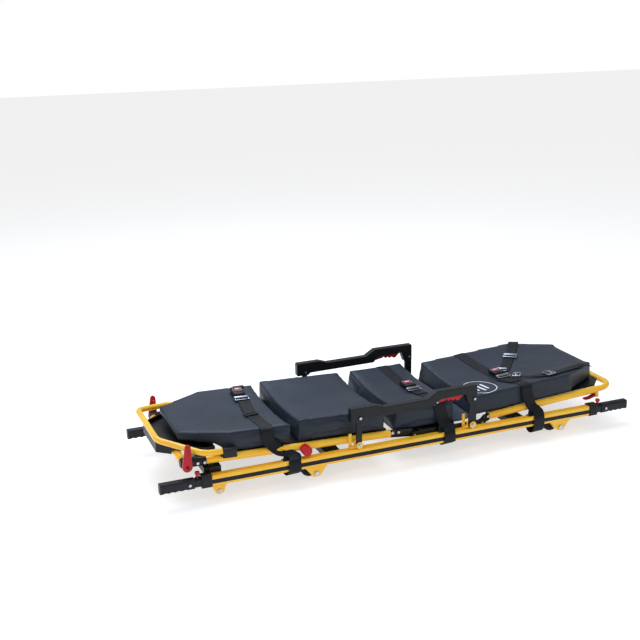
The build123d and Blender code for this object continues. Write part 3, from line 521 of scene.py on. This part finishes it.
# turned-back ends that the adjusters hold, each lying on its own belt
doubles = {"legDouble": ((-0.546, 0.110), (-0.571, -0.060), "leg_section", "leg"),
           "legEnd": ((-0.531, 0.240), (-0.535, 0.196), "leg_section", "leg"),
           "seatDouble": ((0.106, -0.045), (0.116, -0.120), "root", "seat"),
           "chestDouble": ((0.480, -0.100), (0.505, -0.175), "backrest", "back")}
for name, (start, end, body, padName) in doubles.items():
    middle = ((start[0] + end[0]) / 2, (start[1] + end[1]) / 2)
    route = [(x, min(y, 0.222), None, sideways) for x, y in (start, middle, end)]
    makeBelt(name, route, body, padName, width=0.046, lift=0.0045)
print("belts made")


def roundedBlock(name, size, bevel, segments=3):
    bpy.ops.object.select_all(action="DESELECT")
    bpy.ops.mesh.primitive_cube_add(size=1, location=(0, 0, 0))
    block = bpy.context.object
    block.name = name
    block.scale = size
    settle(block)
    softenEdges(block, bevel, segments)
    bpy.ops.object.shade_smooth_by_angle(angle=math.radians(40))
    return block


def joined(name, pieces):
    bpy.ops.object.select_all(action="DESELECT")
    for piece in pieces:
        piece.select_set(True)
    bpy.context.view_layer.objects.active = pieces[0]
    bpy.ops.object.join()
    pieces[0].name = name
    return pieces[0]


def blockAt(name, size, place, bevel, segments=3):
    block = roundedBlock(name, size, bevel, segments)
    block.data.transform(Matrix.Translation(place))
    return block


def placeOn(obj, origin, along, normal):
    # turn a flat piece so its Y runs along a direction and its Z stands on the surface
    z = Vector(normal).normalized()
    x = Vector(along).cross(z).normalized()
    y = z.cross(x)
    turn = Matrix((x, y, z)).transposed().to_4x4()
    obj.data.transform(Matrix.Translation(origin) @ turn)
    return obj


padBodies = {"leg": "leg_section", "seat": "root", "back": "backrest"}


def surfaceFrame(padName, spot, direction, lift, reach=0.02):
    # place, direction and normal for a piece that lies on a pad's top
    x, y = spot
    stepX, stepY = direction[0] * reach, direction[1] * reach
    ahead = padTop(padName, x + stepX, y + stepY)
    back = padTop(padName, x - stepX, y - stepY)
    left = padTop(padName, x + stepY, y - stepX)
    right = padTop(padName, x - stepY, y + stepX)
    along = (ahead - back).normalized()
    upward = (left - right).cross(along).normalized()
    if upward.z < 0:
        upward = -upward
    return padTop(padName, x, y) + upward * lift, along, upward


def makeTongue(name):
    # plated latch plate: a thick rolled bar in front, a slot for the webbing behind it
    pieces = [blockAt(name, (0.060, 0.016, 0.011), (0, -0.046, 0.008), 0.0045, 4),
              blockAt(name, (0.050, 0.006, 0.0045), (0, -0.064, 0.0065), 0.0015, 3),
              blockAt(name, (0.004, 0.026, 0.0045), (-0.0265, -0.054, 0.0065), 0.0015, 2),
              blockAt(name, (0.004, 0.026, 0.0045), (0.0265, -0.054, 0.0065), 0.0015, 2),
              blockAt(name, (0.026, 0.020, 0.002), (0, -0.034, 0.009), 0.0006, 2)]
    return joined(name, pieces)


# window and slot: size, then place, whose height is above the shell's top
buckleLook = {"wide": 0.046, "long": 0.062, "high": 0.017,
              "window": ((0.0285, 0.0225, 0.02), (0, 0.008, 0.003)),
              "slot": ((0.034, 0.006, 0.02), (0, -0.014, 0.0088))}
# the pads' tops dip to the middle, where the buckles stand on the belts
padShape = {"leg": 0.211, "seat": 0.223, "back": 0.214, "dish": 0.02, "half": 0.231, "belt": 0.004}


def makeBuckle(name, spot, section, padName):
    # press-button buckle as the design places it: shell, window for the button, mark, belt slot
    x, y = spot
    dish, half = padShape["dish"], padShape["half"]
    slope = 2 * dish * y / half ** 2
    height = padShape[padName] - dish * (1 - (y / half) ** 2) + padShape["belt"]
    origin = tipped((x, y, height), section)
    normal = tipped((x, y - slope, height + 1), section) - origin
    along = tipped((x, y + 1, height + slope), section) - origin
    body = padBodies[padName]
    high = buckleLook["high"]
    housing = blockAt(name + "Housing", (buckleLook["wide"], buckleLook["long"], high),
                      (0, 0, high / 2), 0.005, 4)
    for size, (across, ahead, above) in (buckleLook["window"], buckleLook["slot"]):
        cutter = blockAt("cutter", size, (across, ahead, high + above), 0.0015)
        cut = housing.modifiers.new("Boolean", "BOOLEAN")
        cut.object = cutter
        cut.operation = "DIFFERENCE"
        applyModifiers(housing)
        bpy.data.objects.remove(cutter)
    bpy.ops.object.shade_smooth_by_angle(angle=math.radians(35))
    placeOn(housing, origin, along, normal)
    dress(housing, bucklePlastic, body, "buckle_plastic", name + "_buckle")
    rim = joined(name + "Rim",
                 [blockAt(name + "Rim", (0.034, 0.0015, 0.001), (0, 0.008 + side * 0.0135, high),
                          0.0004, 2) for side in (-1, 1)]
                 + [blockAt(name + "Rim", (0.0015, 0.0285, 0.001), (side * 0.0165, 0.008, high),
                            0.0004, 2) for side in (-1, 1)])
    placeOn(rim, origin, along, normal)
    dress(rim, labelPlastic, body, "buckle_plastic")
    mark = blockAt(name + "Mark", (0.018, 0.006, 0.0006), (0, 0.009, high + 0.0012), 0.0002, 2)
    placeOn(mark, origin, along, normal)
    dress(mark, whitePrint, name + "_buckle_button", "red_plastic")
    tongue = makeTongue(name + "Tongue")
    placeOn(tongue, origin, along, normal)
    dress(tongue, chrome, body, "steel_hardware")


def makeFrame(name, padName, spot, direction, wide, long, lift, middleBar=True, material=chrome):
    # plated slide: two side rods and two or three cross rods
    pieces = [blockAt(name, (wide, 0.007, 0.006), (0, side * long / 2, 0), 0.0025, 3)
              for side in (-1, 1)]
    pieces += [blockAt(name, (0.005, long, 0.005), (side * (wide / 2 - 0.0025), 0, 0), 0.0018, 3)
               for side in (-1, 1)]
    if middleBar:
        pieces.append(blockAt(name, (wide - 0.004, 0.009, 0.006), (0, 0, 0.003), 0.0025, 3))
    slide = joined(name, pieces)
    origin, along, upward = surfaceFrame(padName, spot, direction, lift)
    placeOn(slide, origin, along, upward)
    slot = "buckle_plastic" if material == bucklePlastic else "steel_hardware"
    return dress(slide, material, padBodies[padName], slot)


makeBuckle("leg", (-0.560, 0.150), "leg_section", "leg")
makeBuckle("seat", (0.107, -0.010), "root", "seat")
makeBuckle("chest", (0.505, -0.040), "backrest", "back")
slanting = Vector((0.62, 0.78)).normalized()
makeFrame("farShoulderSlide", "back", (0.648, 0.098), slanting, 0.058, 0.030, 0.007)
makeFrame("nearShoulderSlide", "back", (0.655, -0.182), Vector((1, 0.05)), 0.050, 0.034, 0.009)
makeFrame("legAdjuster", "leg", (-0.571, -0.060), Vector((-0.15, 1)), 0.054, 0.022, 0.005, False,
          bucklePlastic)
makeFrame("shoulderLatchFar", "back", (0.535, -0.018), slanting, 0.044, 0.030, 0.008)
makeFrame("shoulderLatchNear", "back", (0.548, -0.115), Vector((0.75, -0.6)), 0.044, 0.028,
          0.010)
print("buckles made")


def printed(name, layOut, body, padName, across, along, lift=0.0004):
    # thin print draped on a pad: a grid whose points are laid out by a function
    mark = strip(name, along, across)
    for vertex in mark.data.vertices:
        x, y = layOut(vertex.co.x + 0.5, vertex.co.y + 0.5)
        vertex.co = padTop(padName, x, y) + Vector((0, 0, lift))
    return dress(mark, whitePrint, body, "vinyl_pad")


# a ring round three bars, printed on the backrest pad; each bar is (offset, length)
ring = {"x": 0.361, "y": -0.137, "long": 0.063, "wide": 0.082, "line": 0.0035,
        "bars": ((-0.022, 0.07), (0.0, 0.10), (0.022, 0.07)), "barWide": 0.009}


def ringPoint(u, v):
    angle = 2 * math.pi * u
    return (ring["x"] + (ring["long"] + (v - 0.5) * ring["line"]) * math.cos(angle),
            ring["y"] + (ring["wide"] + (v - 0.5) * ring["line"]) * math.sin(angle))


def barLayOut(offset, length):
    return lambda u, v: (ring["x"] + offset + (v - 0.5) * ring["barWide"],
                         ring["y"] + (u - 0.5) * length)


printed("printedRing", ringPoint, "backrest", "back", 1, 96)
for number, (offset, length) in enumerate(ring["bars"]):
    printed("printedBar" + str(number), barLayOut(offset, length), "backrest", "back", 2, 24)


flapLook = {"wide": 0.456, "sag": 0.006, "thick": 0.002, "seatEdge": (0.192, 0.1235),
            "backEdge": (0.290, 0.1365)}


def hingeFlap(name):
    # vinyl flap between the seat and the backrest, sagging a little
    flap = strip(name, 16, 24)
    firstX, firstZ = flapLook["seatEdge"]
    secondX, secondZ = flapLook["backEdge"]
    for vertex in flap.data.vertices:
        u = vertex.co.x + 0.5
        sag = flapLook["sag"] * math.sin(math.pi * u)
        vertex.co = Vector((firstX + (secondX - firstX) * u, vertex.co.y * flapLook["wide"],
                            firstZ + (secondZ - firstZ) * u - sag))
    solid = flap.modifiers.new("Solidify", "SOLIDIFY")
    solid.thickness = flapLook["thick"]
    applyModifiers(flap)
    bpy.ops.object.shade_smooth()
    flap.data.materials.append(coverVinyl)
    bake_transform(flap)


hingeFlap("backHingeFlap")


def tippedBlock(name, size, place, bevel, section, material, slot):
    block = roundedBlock(name, size, bevel)
    block.data.transform(Matrix.Translation(tipped(place, section)) @ sectionTurn(section, 4))
    return dress(block, material, section, slot)


loopBlock = {"size": (0.052, 0.023, 0.036), "x": -0.714, "y": 0.2425, "z": 0.1395}
bothSides = ((-1, "Near"), (1, "Far"))
for side, word in bothSides:
    tippedBlock("loopBlock" + word, loopBlock["size"],
                (loopBlock["x"], side * loopBlock["y"], loopBlock["z"]), 0.004, "leg_section",
                blackPlastic, "black_plastic")

knob = {"place": (-0.435, -0.2725, 0.119), "radius": 0.0185, "long": 0.036, "flutes": 10,
        "fluteDepth": 0.10}


def flutedKnob():
    body = cylinder("kneeKnob", knob["flutes"] * 12, knob["radius"], knob["long"])
    for vertex in body.data.vertices:
        angle = math.atan2(vertex.co.y, vertex.co.x)
        wave = max(0.0, math.cos(angle * knob["flutes"])) ** 2
        vertex.co.x *= 1 - knob["fluteDepth"] * wave
        vertex.co.y *= 1 - knob["fluteDepth"] * wave
    softenEdges(body, 0.0025, 3, limit=60)
    bpy.ops.object.shade_smooth_by_angle(angle=math.radians(35))
    body.data.transform(Matrix.Rotation(math.radians(90), 4, "X"))
    stem = blockAt("kneeKnobStem", (0.016, 0.034, 0.016), (0, 0.028, 0), 0.0078, 6)
    whole = joined("kneeKnob", [body, stem])
    place = tipped(knob["place"], "leg_section")
    whole.data.transform(Matrix.Translation(place) @ sectionTurn("leg_section", 4))
    dress(whole, redPlastic, "knee_knob", "red_plastic", "knee_knob")


flutedKnob()

# raised ribs on the end collars, three on the outer face and three on top
for end, endWord in ((-1, "Foot"), (1, "Head")):
    for side, sideWord in ((-1, "Left"), (1, "Right")):
        ribs = []
        for x in (0.798, 0.8085, 0.819):
            ribs.append(blockAt("ribs", (0.006, 0.0020, 0.034), (end * x, side * 0.2825, 0.085),
                                0.0008, 2))
            ribs.append(blockAt("ribs", (0.006, 0.024, 0.0020), (end * x, side * 0.264, 0.1095),
                                0.0008, 2))
        dress(joined("collarRibs" + endWord + sideWord, ribs), blackPlastic, "root",
              "black_plastic")
print("small pieces made")


# socket width and edge rounding as shares of a bolt's radius, socket depth as a share of its height
boltLook = {"sides": 32, "high": 0.003, "socket": 0.45, "socketDepth": 0.5, "round": 0.12}


def boltHead(name, place, radius, body, side):
    # a round head with a sunk socket, facing out to one side
    head = cylinder(name, boltLook["sides"], radius, boltLook["high"])
    bpy.ops.object.mode_set(mode="EDIT")
    bpy.ops.mesh.select_all(action="DESELECT")
    bpy.ops.object.mode_set(mode="OBJECT")
    for face in head.data.polygons:
        face.select = face.normal.z > 0.9
    bpy.ops.object.mode_set(mode="EDIT")
    bpy.ops.mesh.select_mode(type="FACE")
    bpy.ops.mesh.inset(thickness=radius * boltLook["socket"])
    sunk = (0, 0, -boltLook["high"] * boltLook["socketDepth"])
    bpy.ops.mesh.extrude_region_move(TRANSFORM_OT_translate={"value": sunk})
    bpy.ops.object.mode_set(mode="OBJECT")
    softenEdges(head, radius * boltLook["round"], 2)
    bpy.ops.object.shade_smooth_by_angle(angle=math.radians(40))
    facing = Matrix.Rotation(math.radians(-90 * side), 4, "X")
    head.data.transform(Matrix.Translation(place) @ facing)
    dress(head, zinc, body, "steel_hardware")


# the guard's two posts, from the foot to the head
guard = {"posts": (-0.2264, 0.2496), "pivot": 0.1195, "top": 0.2288}
boltSpots = []
for side, word in bothSides:
    hand = "left" if side < 0 else "right"
    for x in (-0.833, -0.808):
        boltSpots.append(("fittingBolt" + word, tipped((x, side * 0.2565, 0.119), "leg_section"),
                          0.0052, "leg_section", side))
    for x in (-0.075, -0.050):
        boltSpots.append(("legArmBolt" + word, tipped((x, side * 0.2445, 0.123), "leg_section"),
                          0.0055, "leg_section", side))
    boltSpots.append(("backArmBolt" + word, tipped((0.340, side * 0.2445, 0.123), "backrest"),
                      0.0055, "backrest", side))
    for end, direction in (("head", 1), ("foot", -1)):
        boltSpots.append(("gripBolt" + word, Vector((direction * 0.870, side * 0.2827, 0.084)),
                          0.0052, "handle_" + end + "_" + hand, side))
    body = "guard_bar_" + hand
    for x in guard["posts"]:
        boltSpots.append(("guardBolt" + word, Vector((x, side * 0.2922, guard["top"])), 0.0052,
                          body, side))
        boltSpots.append(("guardNut" + word, Vector((x, side * 0.2600, guard["top"])), 0.0045,
                          body, -side))
    boltSpots.append(("triggerPin" + word, Vector((0.090, side * 0.2888, 0.239)), 0.0032, body,
                      side))
for side, word in bothSides:
    for x in guard["posts"]:
        boltSpots.append(("lugBolt" + word, Vector((x, side * 0.2862, guard["pivot"])), 0.0060,
                          "root", side))
for number, (name, place, radius, body, side) in enumerate(boltSpots):
    boltHead(name + str(number), place, radius, body, side)

lugLook = {"radius": 0.0135, "thick": 0.0042, "y": 0.2822}


def lugRing(name, x, side):
    # the raised boss round a post's pivot bolt
    boss = cylinder(name, 48, lugLook["radius"], lugLook["thick"])
    softenEdges(boss, 0.0008, 2)
    bpy.ops.object.shade_smooth_by_angle(angle=math.radians(40))
    facing = Matrix.Rotation(math.radians(90), 4, "X")
    place = (x, side * lugLook["y"], guard["pivot"])
    boss.data.transform(Matrix.Translation(place) @ facing)
    dress(boss, yellow, "root", "yellow_frame")


for side, word in bothSides:
    for x, end in zip(guard["posts"], ("Foot", "Head")):
        lugRing("lugRing" + end + word, x, side)
print("bolts made")


# lamps: place, aim, size in metres, watts
studio = {"fill": 0.42, "sky": "#DCEAFF", "floor": "#C8C8C8", "floorGlow": 0.62, "floorSize": 40}
lamps = {"top": ((-0.4, 1.2, 3.4), (0, 0, 0.1), 3.0, 140),
         "side": ((-3.4, -2.0, 2.6), (0, 0, 0.1), 1.6, 26)}

bpy.ops.object.select_all(action="DESELECT")
bpy.ops.mesh.primitive_plane_add(size=studio["floorSize"], location=(0, 0, 0))
floor = bpy.context.object
floor.name = "studioFloor"
floorPaint, floorTree, floorShader = newMaterial("studioFloor", Roughness=0.9)
floorShader.inputs["Base Color"].default_value = linear(studio["floor"])
floorShader.inputs["Emission Color"].default_value = linear("#FFFFFF")
floorShader.inputs["Emission Strength"].default_value = studio["floorGlow"]
floor.data.materials.append(floorPaint)

world = bpy.data.worlds.new("studio")
bpy.context.scene.world = world
world.use_nodes = True
sky = world.node_tree.nodes["Background"]
sky.inputs["Color"].default_value = linear("#FFFFFF")
sky.inputs["Strength"].default_value = studio["fill"]
# the camera sees plain white beyond the floor, which lights the object less than it shows
seen = addNode(world.node_tree, "ShaderNodeBackground",
               {"Color": linear("#FFFFFF"), "Strength": 1.0})
path = addNode(world.node_tree, "ShaderNodeLightPath")
mixed = addNode(world.node_tree, "ShaderNodeMixShader",
                {0: path.outputs["Is Camera Ray"], 1: sky.outputs[0], 2: seen.outputs[0]})
surface = world.node_tree.nodes["World Output"].inputs["Surface"]
world.node_tree.links.new(mixed.outputs[0], surface)

for name, (place, aim, size, power) in lamps.items():
    light = bpy.data.lights.new(name, "AREA")
    light.energy = power
    light.size = size
    light.color = linear(studio["sky"])[:3]
    lamp = bpy.data.objects.new(name, light)
    bpy.context.scene.collection.objects.link(lamp)
    lamp.location = place
    lamp.rotation_euler = (Vector(aim) - Vector(place)).to_track_quat("-Z", "Y").to_euler()

view = {"place": (-1.641, -3.459, 1.647), "forward": (0.3546, 0.88971, -0.28755), "roll": -1.054,
        "lens": 57.65, "sensor": 36}
camera = bpy.data.cameras.new("camera")
camera.lens = view["lens"]
camera.sensor_width = view["sensor"]
cameraObject = bpy.data.objects.new("camera", camera)
bpy.context.scene.collection.objects.link(cameraObject)
aim = Vector(view["forward"]).to_track_quat("-Z", "Y").to_matrix().to_4x4()
roll = Matrix.Rotation(math.radians(view["roll"]), 4, "Z")
cameraObject.matrix_world = Matrix.Translation(view["place"]) @ aim @ roll
bpy.context.scene.camera = cameraObject
bpy.context.scene.view_settings.view_transform = "Standard"
print("camera and light set")
